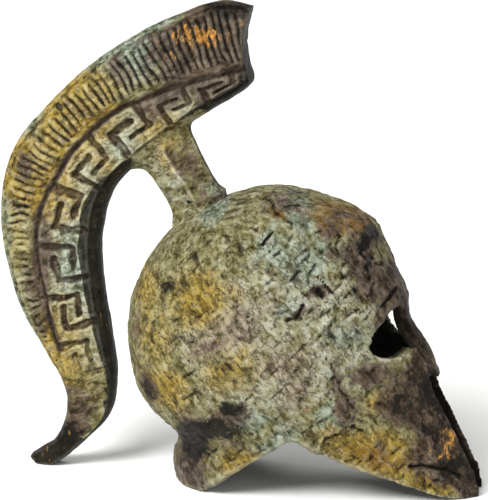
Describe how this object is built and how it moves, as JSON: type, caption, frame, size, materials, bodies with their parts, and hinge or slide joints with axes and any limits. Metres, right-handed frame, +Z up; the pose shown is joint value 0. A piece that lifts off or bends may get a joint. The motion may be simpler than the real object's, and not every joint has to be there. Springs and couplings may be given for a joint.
{
  "type": "corinthian helmet ornament",
  "caption": "Small cast bronze helmet ornament with a tall curved crest on a stem, ribbed outer band, Greek key band, eye openings, nose guard and a slit face.",
  "frame": {"origin": "centre of the bounding box in X and Y, on the surface it stands on", "axes": "+X the way the face looks, +Y to the wearer's left, +Z up"},
  "size_m": [0.1488, 0.056, 0.1472],
  "materials": {
    "bowl_bronze": "cast bronze with a mottled green, grey-green, ochre and dark brown patina, wax-rubbed to a soft sheen",
    "crest_bronze": "cast bronze with a yellow-green and dark brown patina, dark in the recesses and rubbed on the raised relief"
  },
  "bodies": {
    "root": {"helmet_bowl": "bowl_bronze", "crest": "crest_bronze"}
  },
  "joints": []
}
